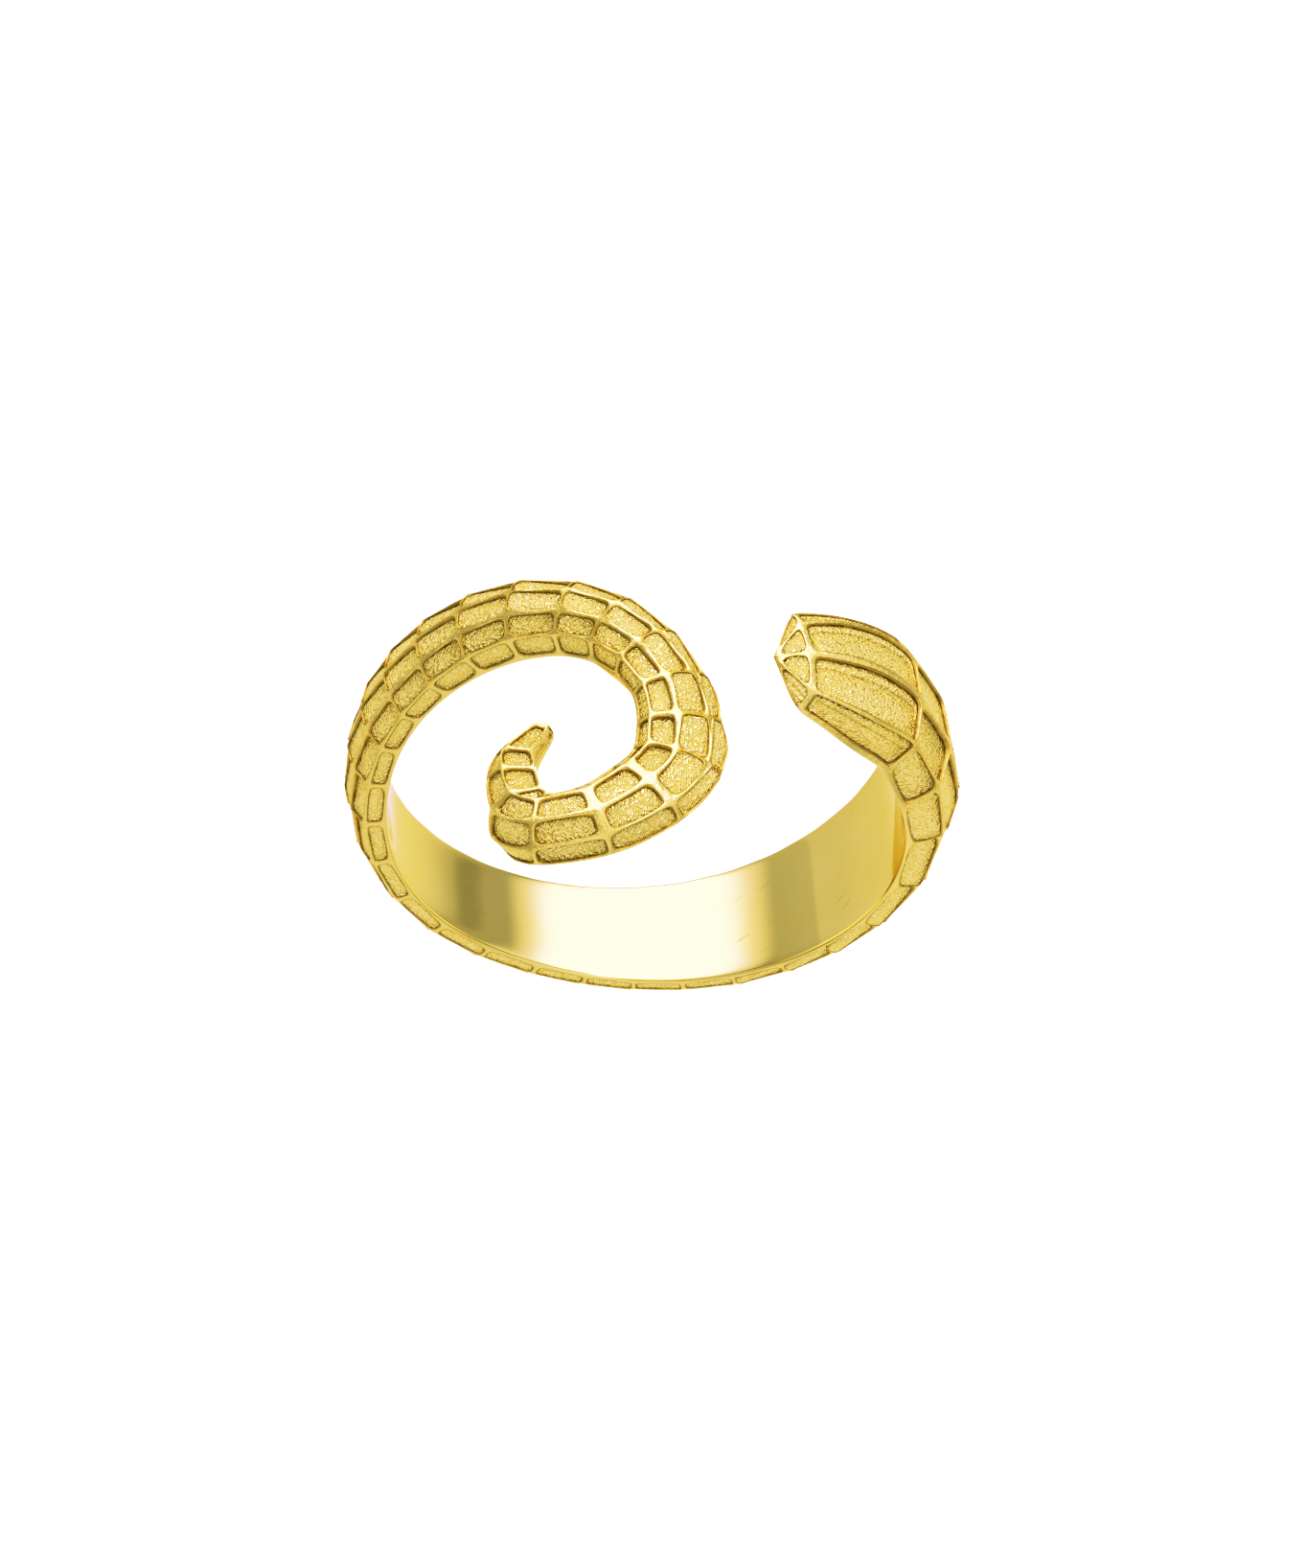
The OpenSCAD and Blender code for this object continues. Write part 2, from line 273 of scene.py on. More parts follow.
# Relief of the ribs and panels. Half widths are given at ribs and run evenly between them. A value
# with four or five parts is for the ribs and then for the steps of a panel: its shoulder, the foot
# of its wall, its floor and, in the neck, the inner floor.
relief = {
    "ribHalf": (
        (0, 0.07), (3, 0.09), (4, 0.08), (4.7, 0.22), (6.3, 0.22), (7, 0.085), (35, 0.08), (36, 0.24),
    ),
    "outerRib": 0.1,          # most that a rib of the curl has behind the middle ridge
    "midRidge": 2,
    "ridgeHalf": ((0, 0.07), (4, 0.08), (10, 0.075), (33, 0.07), (35, 0.09), (36, 0.11)),
    "midRidgeHalf": ((0, 0.07), (4, 0.09), (5, 0.11), (9, 0.11), (11, 0.08), (33, 0.075), (36, 0.13)),
    "rimHalf": ((0, 0.08), (9, 0.08), (12, 0.045), (31, 0.035), (34, 0.12), (36, 0.18)),
    "limits": (0, 0.3, 0.34, 0.4, 0.44),   # most of a panel's side that a step may take
    "shoulder": 0.045,        # how far the edges of a rib lie below its crown
    "depth": 0.11,            # depth of the panels' feet below that
    "frontDepth": ((0, 1), (7, 1), (10, 0.4), (30, 0.4), (33, 0.8), (36, 1)),   # share in the front row
    "fullSize": 1.0,          # a panel narrower than this is shallower
    "pillow": ((0, 0.06), (6, 0.1), (26, 0.1), (29, 0.17), (33, 0.17), (34, 0.1), (36, 0.08)),
    "pillowAt": ((0, 0.5), (27, 0.5), (29, 0.42), (33, 0.42), (34, 0.5), (36, 0.5)),
    "outerPillow": ((0, 0), (5, 0), (6, 0.06), (10, 0.06), (13, 0.03), (36, 0)),   # last two rows
    "plates": (               # from rib, to rib, first row, last row, rise at the end nearer the cut end
        (6, 9, 2, 4, 0.26),
        (10, 27, 1, 4, 0.2),
        (28, 33, 0, 4, -0.24),
    ),
    "plateLevel": 0.3,        # where along a plate it doesn't rise, from its lower end
    "plateShare": (0, 0.7, 1, 1, 1),
    "ledge": 0.06,            # how far the row before the middle ridge sinks under it
    "ledgeFrom": 3,
    "lean": 0.03,             # how far the panels' walls lean inwards
    "margin": (0, 0, 0, 0.075),     # strip round a panel's floor
    "rise": (0, 0, 0, 0.03),        # how far it rises
    "shade": (0, 0.35, 1, 0.3),     # painted shade that each step takes in its colour, darkest at the foot of the wall
    "neck": {                 # the same for the long panels, at their sides and towards the back
        "margin": {"side": (0, 0, 0, 0.04, 0.09), "back": (0, 0, 0, 0.12, 0.25)},
        "rise": {"side": (0, 0, 0, 0.01, -0.02), "back": (0, 0, 0, 0.1, -0.03)},
        "shade": {"side": (0, 0.35, 1, 0.5, 0.5), "back": (0, 0.35, 1, 0, 0.95)},
    },
    "uneven": 0.045,          # how far the panels' edges stray, as in a cast piece
    "unevenSize": 2.2,        # times that they do so in a millimetre
    "grainSize": 0.22,        # coarse unevenness of the cast panels
    "grainDepth": 0.05,
    "grainShare": (0.5, 0.5, 0.3, 0.7, 0.7),
    "shoulderCrease": 0.6,
    "footCrease": 0.9,
    "cornerCrease": 0.8,
    "capRib": 0.02,           # the same for the facets of the cut end, from here
    "capMargin": (0, 0, 0.015, 0.05),
    "capLimit": 0.7,
    "capDepth": (0, 0.045, 0.07, 0.05),
    "capGrain": (0, 0, 0.1, 0.7),
    "capCrease": 0.85,        # to here
    "startInset": 0.01,       # insets start as thin as this, and then take their places
    "startCapInset": 0.004,
    "smooth": 2,              # levels of subdivision
}

# Numbers that mark faces: 0 is the plain skin, the panels count up from 1, and the facets of the
# cut end count down from the last of these
plainSkin = 0
closedEnd = -1
plainCap = -9
capFacet = -10


def cellNumber(i, k):
    return i * tail["rows"] + k + 1


def isEnd(x):
    return not near < x < 1 - near


def onlyThis(thing):
    bpy.ops.object.select_all(action="DESELECT")
    thing.select_set(True)
    bpy.context.view_layer.objects.active = thing


def stationsOfTail():
    places = []
    for i in range(tail["ribs"]):
        m = piecesAfter(i)
        places += [i + j / m for j in range(m)]
    return places + [tail["ribs"]]


def marksOf(bm):
    # place and line on the tail, step, panel and painted shade of a point; panel, step and tone of a face
    v, f = bm.verts.layers, bm.faces.layers
    return {
        "place": v.float.get("place") or v.float.new("place"),
        "line": v.int.get("line") or v.int.new("line"),
        "level": v.int.get("level") or v.int.new("level"),
        "home": v.int.get("home") or v.int.new("home"),
        "cell": f.int.get("cell") or f.int.new("cell"),
        "zone": f.int.get("zone") or f.int.new("zone"),
        "sunk": v.float.get("sunk") or v.float.new("sunk"),
        "tone": f.float.get("tone") or f.float.new("tone"),
    }


def addSectionRing(name):
    bpy.ops.object.select_all(action="DESELECT")
    bpy.ops.mesh.primitive_circle_add(vertices=lineCount, radius=0.5)
    thing = bpy.context.active_object
    thing.name = thing.data.name = name
    bpy.ops.object.mode_set(mode="EDIT")
    bpy.ops.mesh.select_mode(type="VERT")
    bpy.ops.mesh.select_all(action="SELECT")
    bm = bmesh.from_edit_mesh(thing.data)
    marksOf(bm)               # once to make them, as each new one makes the earlier ones stale
    at = marksOf(bm)
    for n, vert in enumerate(sorted(bm.verts, key=lambda v: atan2(v.co.y, v.co.x))):
        vert[at["line"]] = n
    bmesh.update_edit_mesh(thing.data)
    return thing


def placeSection(thing, u):
    # the selected ring takes the tail's section at u
    bm = bmesh.from_edit_mesh(thing.data)
    at = marksOf(bm)
    for vert in bm.verts:
        if vert.select:
            vert.co = sectionPoint(u, vert[at["line"]])
            vert[at["place"]] = u
    bmesh.update_edit_mesh(thing.data)


def closeEnd(thing, u, point):
    # the open ring at u is filled and drawn together on one point
    bpy.ops.mesh.select_mode(type="EDGE")
    bpy.ops.mesh.select_all(action="DESELECT")
    bm = bmesh.from_edit_mesh(thing.data)
    at = marksOf(bm)
    for edge in bm.edges:
        if edge.is_boundary and all(abs(v[at["place"]] - u) < near for v in edge.verts):
            edge.select = True
    bmesh.update_edit_mesh(thing.data)
    bpy.ops.mesh.edge_face_add()
    bpy.ops.mesh.select_mode(type="FACE")
    bpy.ops.mesh.poke()
    bm = bmesh.from_edit_mesh(thing.data)
    at = marksOf(bm)
    closing = [f for f in bm.faces if f.select]
    for vert in {v for f in closing for v in f.verts}:
        if all(f.select for f in vert.link_faces):
            vert.co = point
            vert[at["place"]] = u
            vert[at["line"]] = endPoint
    for face in closing:
        face[at["cell"]] = closedEnd
    bmesh.update_edit_mesh(thing.data)


def markCells(thing):
    bm = bmesh.from_edit_mesh(thing.data)
    at = marksOf(bm)
    for face in bm.faces:
        if face[at["cell"]] == closedEnd:
            continue
        face[at["cell"]] = plainSkin
        lines = sorted(v[at["line"]] for v in face.verts)
        if lines[0] >= firstRidge and lines[-1] < backEdge:
            i = int(min(v[at["place"]] for v in face.verts) + near)
            face[at["cell"]] = cellNumber(i, (lines[0] - firstRidge) // 2)
    bmesh.update_edit_mesh(thing.data)


def selectFaces(thing, wanted):
    bpy.ops.mesh.select_all(action="DESELECT")
    bm = bmesh.from_edit_mesh(thing.data)
    at = marksOf(bm)
    for face in bm.faces:
        if wanted(face[at["cell"]], face[at["zone"]]):
            face.select = True
    bmesh.update_edit_mesh(thing.data)


def insetSelected(thing, level, thickness):
    bpy.ops.mesh.inset(thickness=thickness, depth=0, use_even_offset=True, use_boundary=True)
    bm = bmesh.from_edit_mesh(thing.data)
    at = marksOf(bm)
    for face in bm.faces:
        if face.select:
            face[at["zone"]] = level
            for vert in face.verts:
                vert[at["level"]] = level
                vert[at["home"]] = face[at["cell"]]
    bmesh.update_edit_mesh(thing.data)


def insetPanels(thing):
    # the first inset is made in four turns, so that no two panels beside each other merge
    rows = tail["rows"]
    for evenRib in (0, 1):
        for evenRow in (0, 1):
            selectFaces(thing, lambda cell, zone: cell > plainSkin and (cell - 1) // rows % 2 == evenRib
                        and (cell - 1) % rows % 2 == evenRow)
            insetSelected(thing, 1, relief["startInset"])
    for level in (2, 3, 4):
        first = cellNumber(tail["ribs"] - 1, 0) if level == 4 else cellNumber(0, 0)
        selectFaces(thing, lambda cell, zone: cell >= first and zone == level - 1)
        insetSelected(thing, level, relief["startInset"])


def ribHalf(u, k):
    half = valueAt(relief["ribHalf"], u)
    if k > relief["midRidge"] and u < tail["bentTo"]:
        half = min(half, relief["outerRib"])
    return half


def ridgeHalf(u, k):
    name = {0: "rimHalf", relief["midRidge"]: "midRidgeHalf"}.get(k, "ridgeHalf")
    return valueAt(relief[name], u)


def cellSize(i, k):
    a, b, c, d = crown(i, k), crown(i + 1, k), crown(i, k + 1), crown(i + 1, k + 1)
    return (b + d - a - c).length / 2, (c + d - a - b).length / 2


def skinPoint(i, k, s, t, depth):
    # a point of a panel, sunk straight down from the skin between its ridges
    step = 0.02
    s0, s1 = max(s - step, 0), min(s + step, 1)
    low, high = crown(i + s, k), crown(i + s, k + 1)
    before = crown(i + s0, k).lerp(crown(i + s0, k + 1), t)
    after = crown(i + s1, k).lerp(crown(i + s1, k + 1), t)
    normal = (high - low).cross(after - before).normalized()
    return low.lerp(high, t) - normal * depth


def stepsOf(i, t, name):
    # the values of a panel's steps, which in the neck differ towards the back
    if i < tail["ribs"] - 1:
        return relief[name]
    return relief["neck"][name]["back" if t > 1 - near else "side"]


def panelEdge(i, k, level, s, t, stray):
    # where a point on the edge of a step lies in its panel
    length, width = cellSize(i, k)
    limit = relief["limits"][level]
    inwards = (relief["lean"] if level > 1 else 0) + stray
    along = inwards + stepsOf(i, 0, "margin")[level]
    across = inwards + stepsOf(i, t, "margin")[level]
    if s < near:
        s = min((ribHalf(i, k) + along) / length, limit)
    elif s > 1 - near:
        s = 1 - min((ribHalf(i + 1, k) + along) / length, limit)
    if t < near:
        t = min((ridgeHalf(i + s, k) + across) / width, limit)
    elif t > 1 - near:
        t = 1 - min((ridgeHalf(i + s, k + 1) + across) / width, limit)
    return s, t


def plateRise(i, k, s):
    for first, last, low, high, rise in relief["plates"]:
        if first <= i <= last and low <= k <= high:
            level = relief["plateLevel"]
            return rise * (s - level) if rise > 0 else -rise * (1 - level - s)
    return 0


def panelDepth(i, k, level, inner, s, t, rise):
    foot = relief["shoulder"] + relief["depth"] * (valueAt(relief["frontDepth"], i) if k == 0 else 1)
    depth = (foot if level > 1 else relief["shoulder"]) - rise
    if inner:
        depth -= valueAt(relief["pillow"], i + 0.5)
        if k >= tail["rows"] - 2:
            depth -= valueAt(relief["outerPillow"], i + 0.5)
    share = relief["plateShare"][level]
    depth -= plateRise(i, k, s) * share
    if 0 < k < relief["midRidge"] and i >= relief["ledgeFrom"]:
        depth += relief["ledge"] * t * share
    return depth * min(min(cellSize(i, k)) / relief["fullSize"], 1)


def shapePanels(thing):
    bm = bmesh.from_edit_mesh(thing.data)
    at = marksOf(bm)
    panels = thing.vertex_groups.new(name="panels").index
    weights = bm.verts.layers.deform.verify()
    pinned = bm.verts.layers.float.get("crease_vert") or bm.verts.layers.float.new("crease_vert")
    places = stationsOfTail()
    for vert in bm.verts:
        home, level, line = vert[at["home"]], vert[at["level"]], vert[at["line"]]
        # the claw's finger side takes painted shade, as it lies in shade
        if line > backEdge and vert[at["place"]] < tail["clawTo"]:
            vert[at["sunk"]] = tail["clawShade"]
        if home < 1 and firstRidge < line < backEdge:
            vert[weights][panels] = relief["grainShare"][0]
        if home < 1 or level < 1:
            continue
        i, k = divmod(home - 1, tail["rows"])
        u = min(places, key=lambda x: abs(x - vert[at["place"]]))
        s, t = u - i, (line - firstRidge - 2 * k) / 2
        inner = level > 2 and all(f[at["zone"]] == level for f in vert.link_faces)
        if level < 3 and isEnd(s) and isEnd(t):
            vert[pinned] = relief["cornerCrease"]
        rise, shade = stepsOf(i, t, "rise")[level], stepsOf(i, t, "shade")[level]
        if inner:
            rise = shade = 0
        stray = noise(vert.co * relief["unevenSize"]) * relief["uneven"]
        s, t = panelEdge(i, k, level, s, t, stray)
        if abs(s - 0.5) < near:
            s = valueAt(relief["pillowAt"], u)
        vert.co = skinPoint(i, k, s, t, panelDepth(i, k, level, inner, s, t, rise))
        # painted shade of the step, which darkens its colour where shade falls
        vert[at["sunk"]] = shade
        vert[weights][panels] = 1 if inner else relief["grainShare"][level]
    bmesh.update_edit_mesh(thing.data)


def shrinkFacet(corners, p, margin, depth):
    # p drawn in from the sides of a triangle by the margin, and sunk
    a, b, c = corners
    la, lb, lc = (b - c).length, (c - a).length, (a - b).length
    around = la + lb + lc
    middle = (a * la + b * lb + c * lc) / around
    normal = (b - a).cross(c - a)
    radius = normal.length / around
    keep = 1 - min(margin / radius, relief["capLimit"])
    return middle + (p - middle) * keep - normal.normalized() * depth


def shapeCap(thing):
    # the cut end's facets are sunk between ridges that meet at the apex
    bm = bmesh.from_edit_mesh(thing.data)
    at = marksOf(bm)
    apex = next(v for v in bm.verts if v[at["line"]] == endPoint and v[at["place"]] > 1)
    top = apex.co.copy()
    for face in apex.link_faces:
        lines = sorted(v[at["line"]] for v in face.verts if v[at["line"]] != endPoint)
        outer = firstRidge <= lines[0] and lines[-1] < backEdge
        face[at["cell"]] = capFacet - (lines[0] - firstRidge) // 2 if outer else plainCap
    bmesh.update_edit_mesh(thing.data)
    for k in range(tail["rows"]):
        for level in (1, 2, 3):
            selectFaces(thing, lambda cell, zone: cell == capFacet - k and zone == level - 1)
            insetSelected(thing, level, relief["startCapInset"])
    bm = bmesh.from_edit_mesh(thing.data)
    at = marksOf(bm)
    panels = thing.vertex_groups["panels"].index
    weights = bm.verts.layers.deform.verify()
    pinned = bm.verts.layers.float.get("crease_vert")
    for vert in bm.verts:
        if vert[at["home"]] > capFacet:
            continue
        k, level = capFacet - vert[at["home"]], vert[at["level"]]
        corners = crown(tail["ribs"], k), crown(tail["ribs"], k + 1), top
        middle = (corners[0] + corners[1]) / 2
        start = min((middle, *corners), key=lambda c: (vert.co - c).length)
        margin = relief["capRib"] + relief["capMargin"][level]
        vert.co = shrinkFacet(corners, start, margin, relief["capDepth"][level])
        # painted shade of the facet's step
        vert[at["sunk"]] = relief["shade"][level]
        vert[pinned] = relief["capCrease"]
        vert[weights][panels] = relief["capGrain"][level]
    bmesh.update_edit_mesh(thing.data)


def creaseEdges(thing):
    bm = bmesh.from_edit_mesh(thing.data)
    at = marksOf(bm)
    crease = bm.edges.layers.float.get("crease_edge") or bm.edges.layers.float.new("crease_edge")
    pinned = bm.verts.layers.float.get("crease_vert")
    for edge in bm.edges:
        zones = sorted(f[at["zone"]] for f in edge.link_faces)
        if zones == [0, 1]:
            edge[crease] = relief["shoulderCrease"]
        elif zones == [1, 2]:
            edge[crease] = relief["footCrease"]
    for vert in bm.verts:
        if vert[at["line"]] == endPoint and vert[at["place"]] > 1 and not vert[at["level"]]:
            vert[pinned] = 1
    bmesh.update_edit_mesh(thing.data)


def toneOf(cell):
    # from 0 to 1, as if by chance, and the same in each run
    spread, fold = 12.99, 43.75
    return sin(cell * spread) * fold % 1


def paintPlaces(thing):
    # a map in millimetres along and across each panel, and a tone for each
    bm = bmesh.from_edit_mesh(thing.data)
    at = marksOf(bm)
    grid = bm.loops.layers.uv.new("grid")
    for face in bm.faces:
        cell = face[at["cell"]]
        face[at["tone"]] = toneOf(cell)
        for loop in face.loops:
            p = loop.vert.co
            if cell > plainSkin:
                i, k = divmod(cell - 1, tail["rows"])
                start = crown(i, k)
                along = (crown(i + 1, k) - start).normalized()
                across = crown(i, k + 1) - start
                across = (across - along * across.dot(along)).normalized()
                loop[grid].uv = (p - start).dot(along), (p - start).dot(across)
            elif cell == plainSkin and loop.vert[at["place"]] < tail["clawMapTo"]:
                loop[grid].uv = p.y, p.z
            elif cell == plainSkin:
                loop[grid].uv = atan2(p.y, -p.x) * tail["fingerRadius"], p.z
            else:
                loop[grid].uv = p.z, p.x - p.y
    bmesh.update_edit_mesh(thing.data)


def applyModifier(thing, kind, **values):
    bpy.ops.object.modifier_add(type=kind)
    made = thing.modifiers[-1]
    for name, value in values.items():
        setattr(made, name, value)
    bpy.ops.object.modifier_apply(modifier=made.name)


def drawSkin(name):
    # a ring of points is extruded along the course, and both ends are closed
    thing = addSectionRing(name)
    places = stationsOfTail()
    placeSection(thing, places[0])
    for u in places[1:]:
        bpy.ops.mesh.extrude_region_move()
        placeSection(thing, u)
    last = tail["ribs"]
    tip = pathPoint(0) + outwardAt(0) * sectionAt(0, "thick") * tail["rimDrop"]
    closeEnd(thing, 0, tip - alongAt(0) * tail["tipReach"])
    stand = sectionAt(last, "thick") / 2 * (tail["rimDrop"] + tail["apexOut"])
    apex = pathPoint(last) + outwardAt(last) * stand + alongAt(last) * tail["capRise"]
    closeEnd(thing, last, apex + Vector((0, 0, tail["apexFront"])))
    return thing


def buildTail():
    thing = drawSkin("seahorse_tail")
    markCells(thing)
    insetPanels(thing)
    shapePanels(thing)
    shapeCap(thing)
    creaseEdges(thing)
    paintPlaces(thing)
    bpy.ops.mesh.select_all(action="SELECT")
    bpy.ops.mesh.normals_make_consistent(inside=False)
    bm = bmesh.from_edit_mesh(thing.data)
    print("cage", len(bm.verts), len(bm.faces), "open edges", sum(e.is_boundary for e in bm.edges),
          "volume", round(bm.calc_volume(signed=True), 1))
    bpy.ops.object.mode_set(mode="OBJECT")
    onlyThis(thing)
    applyModifier(thing, "SUBSURF", levels=relief["smooth"], render_levels=relief["smooth"])
    clouds = bpy.data.textures.new("cast_grain", "CLOUDS")
    clouds.noise_scale = relief["grainSize"]
    applyModifier(thing, "DISPLACE", texture=clouds, texture_coords="LOCAL",
                  strength=relief["grainDepth"], vertex_group="panels")
    bpy.ops.object.shade_smooth()
    triangles = sum(len(p.vertices) - 2 for p in thing.data.polygons)
    print("tail", len(thing.data.vertices), "points", triangles, "triangles")
    return thing


def makeSmall(thing):
    onlyThis(thing)
    bpy.ops.transform.resize(value=(millimetre,) * 3)
    bpy.ops.object.transform_apply(location=True, rotation=True, scale=True)


# The golds. Dents, heights and depths are in millimetres.
gold = {
    "edgeTint": (1.0, 0.88, 0.5),  # of the reflection at a low angle
    "deep": (0.1, 0.042, 0.006),   # colour of the painted shade in the darkest corners and crevices, and of the scratches
    "low": (0.52, 0.3, 0.05),      # and of the lighter painted shade in the grain's hollows and on the walls
    "wear": 1.3,                   # patches of wear to a millimetre
    "ribs": {
        "colour": (0.68, 0.505, 0.128),
        "light": (0.74, 0.59, 0.22),   # in worn patches
        "worn": 0.35,              # how much of it these take
        "edges": (0.22, 0.38),     # painted shade value at which the painted shade along a rib's edges starts and is full
        "shadeShare": 0.9,
        "rough": 0.13,
        "roughSpread": (-0.05, 0.08),   # how much less and more it is in places
        "dents": 0.05,
    },
    "panels": {
        # a lighter gold than the ribs', painted light for the light that the grain catches
        "colour": (0.97, 0.745, 0.19),
        # lighter still on the grain's crests, a painted highlight
        "crests": (1.0, 0.84, 0.31),
        "hollows": 0.6,            # how much of the low colour, a painted shade, the hollows of the grain take
        # painted shade value at which the painted shade at the foot of the walls starts and is full
        "edges": (0.6, 1),
        "shadeShare": 0.5,
        "rough": 0.21,
        "roughSpread": (-0.06, 0.08),
        "streak": (7.5, 12.5),     # strokes of the grain to a millimetre, along and across
        "slant": 0.5,              # of the strokes, in radians
        "pebble": 10.5,            # grains to a millimetre
        "ripple": 12.0,            # fine ripples to a millimetre
        "height": 0.062,
    },
    # the panels' walls, in a darker gold that is painted shade in the recesses
    "recesses": {
        "worn": 0.3,
        # painted shade value at which the walls turn from the low colour to the deep one
        "edges": (0.4, 0.8),
        "rough": 0.45,
        "wear": 2,                 # times as many patches as on the ribs
        "dents": 0.03,
    },
    "fingerSide": {
        "colour": (0.7, 0.545, 0.165),
        "light": (0.74, 0.605, 0.25),
        "worn": 0.3,
        "rough": 0.06,
        "roughSpread": (-0.02, 0.05),
        "brush": (0.3, 0.7),       # range of the brushing that this spread covers
        "wear": 1 / 3,
        "scratchTurn": -0.35,      # radians
        "scratchDark": 0.35,
        "scratchRough": 0.2,
        "brushHeight": 0.12,       # in scratch depths
        "scratchDepth": 0.003,
    },
}

# Patterns that the golds share
patterns = {
    "strokes": 0.9,                # shares of strokes, pebbles and ripples in the cast grain
    "pebbles": 0.7,
    "ripples": 0.18,
    "waveSize": 0.314,             # scale of a wave that has one ripple to a millimetre
    "heights": (0.02, 0.5),        # where their sum counts as lowest and as highest
    "hollows": (0.19, 0.05),       # and where a hollow starts and is full
    "turnSpread": 0.5,             # radians by which strokes turn from panel to panel
    "apart": 40,                   # distance between the patterns of panels of unlike tone
    "patches": (0.35, 0.65),       # where a worn patch starts and is full
    "dents": 3,                    # dents to a patch
    "scratchSize": (0.5, 9.0, 1.0),
    "scratches": (0.67, 0.72),     # where a scratch starts and is full
    "scratchPlaces": 0.35,         # scratched places to a millimetre
    "scratched": (0.5, 0.6),
    "brushSize": (0.3, 25.0, 1.0),
}


def put(tree, kind, values=None, **settings):
    # a node with its settings, and a value or a link for each input that is named
    node = tree.nodes.new(kind)
    for name, value in settings.items():
        setattr(node, name, value)
    for name, value in (values or {}).items():
        if isinstance(value, bpy.types.NodeSocket):
            tree.links.new(value, node.inputs[name])
        else:
            node.inputs[name].default_value = value
    return node


def maths(tree, operation, *values):
    return put(tree, "ShaderNodeMath", dict(enumerate(values)), operation=operation).outputs[0]


def vectorMaths(tree, operation, *values):
    return put(tree, "ShaderNodeVectorMath", dict(enumerate(values)), operation=operation).outputs[0]


def smoothRange(tree, value, low, high, toLow=0.0, toHigh=1.0):
    return put(tree, "ShaderNodeMapRange", {
        "Value": value, "From Min": low, "From Max": high, "To Min": toLow, "To Max": toHigh,
    }, interpolation_type="SMOOTHSTEP").outputs["Result"]


def noiseOf(tree, place, scale=1.0, **values):
    inputs = {name.replace("_", " "): value for name, value in values.items()}
    return put(tree, "ShaderNodeTexNoise", {"Vector": place, "Scale": scale, **inputs}).outputs[0]


def turnedPlace(tree, place, angle):
    return put(tree, "ShaderNodeVectorRotate", {"Vector": place, "Angle": angle},
               rotation_type="Z_AXIS").outputs[0]


def newGroup(name, inputs, outputs):
    # sockets are numbers, but for Place
    tree = bpy.data.node_groups.new(name, "ShaderNodeTree")
    for way, labels in (("INPUT", inputs), ("OUTPUT", outputs)):
        for label in labels:
            kind = "NodeSocketVector" if label == "Place" else "NodeSocketFloat"
            tree.interface.new_socket(label, in_out=way, socket_type=kind)
    return tree, put(tree, "NodeGroupInput").outputs, put(tree, "NodeGroupOutput").inputs


def makeGrain():
    # rough strokes, pebbles and ripples of the cast panels
    tree, given, result = newGroup(
        "cast_grain", ("Place", "Tone", "Turn", "Along", "Across", "Pebble", "Ripple"), ("Height", "Low"))
    unlike = maths(tree, "MULTIPLY", given["Tone"], patterns["turnSpread"])
    turned = turnedPlace(tree, given["Place"], maths(tree, "ADD", given["Turn"], unlike))
    away = maths(tree, "MULTIPLY", given["Tone"], patterns["apart"])
    apart = put(tree, "ShaderNodeCombineXYZ", {"Z": away}).outputs[0]
    moved = vectorMaths(tree, "ADD", turned, apart)
    size = put(tree, "ShaderNodeCombineXYZ", {
        "X": given["Along"], "Y": given["Across"], "Z": 1.0}).outputs[0]
    stroke = noiseOf(tree, vectorMaths(tree, "MULTIPLY", moved, size), Detail=3.0, Roughness=0.65)
    pebble = put(tree, "ShaderNodeTexVoronoi", {"Vector": moved, "Scale": given["Pebble"]},
                 feature="SMOOTH_F1").outputs["Distance"]
    ripple = put(tree, "ShaderNodeTexWave", {
        "Vector": moved, "Scale": maths(tree, "MULTIPLY", given["Ripple"], patterns["waveSize"]),
        "Distortion": 4.0, "Detail": 1.0, "Detail Scale": 1.5}, bands_direction="Y").outputs["Fac"]
    height = maths(tree, "MULTIPLY", stroke, patterns["strokes"])
    height = maths(tree, "SUBTRACT", height, maths(tree, "MULTIPLY", pebble, patterns["pebbles"]))
    height = maths(tree, "ADD", height, maths(tree, "MULTIPLY", ripple, patterns["ripples"]))
    tree.links.new(smoothRange(tree, height, *patterns["heights"]), result["Height"])
    tree.links.new(smoothRange(tree, height, *patterns["hollows"]), result["Low"])
    return tree


def makeWear():
    # broad patches, and small dents of the polish
    tree, given, result = newGroup("soft_wear", ("Place", "Patches"), ("Patch", "Dents"))
    patch = noiseOf(tree, given["Place"], given["Patches"], Detail=3.0)
    dents = noiseOf(tree, given["Place"], maths(tree, "MULTIPLY", given["Patches"], patterns["dents"]),
                    Detail=4.0, Roughness=0.6)
    tree.links.new(smoothRange(tree, patch, *patterns["patches"]), result["Patch"])
    tree.links.new(dents, result["Dents"])
    return tree


def makeScratches():
    # thin lines of cleaning and wear
    tree, given, result = newGroup("fine_scratches", ("Place", "Turn"), ("Lines", "Brush"))
    turned = turnedPlace(tree, given["Place"], given["Turn"])
    long = put(tree, "ShaderNodeMapping", {"Vector": turned, "Scale": patterns["scratchSize"]}).outputs[0]
    line = noiseOf(tree, long, Detail=1.0)
    where = noiseOf(tree, given["Place"], patterns["scratchPlaces"])
    thin = smoothRange(tree, line, *patterns["scratches"])
    scratched = smoothRange(tree, where, *patterns["scratched"])
    tree.links.new(maths(tree, "MULTIPLY", thin, scratched), result["Lines"])
    fine = put(tree, "ShaderNodeMapping", {
        "Vector": given["Place"], "Scale": patterns["brushSize"]}).outputs[0]
    tree.links.new(noiseOf(tree, fine, Detail=2.0), result["Brush"])
    return tree


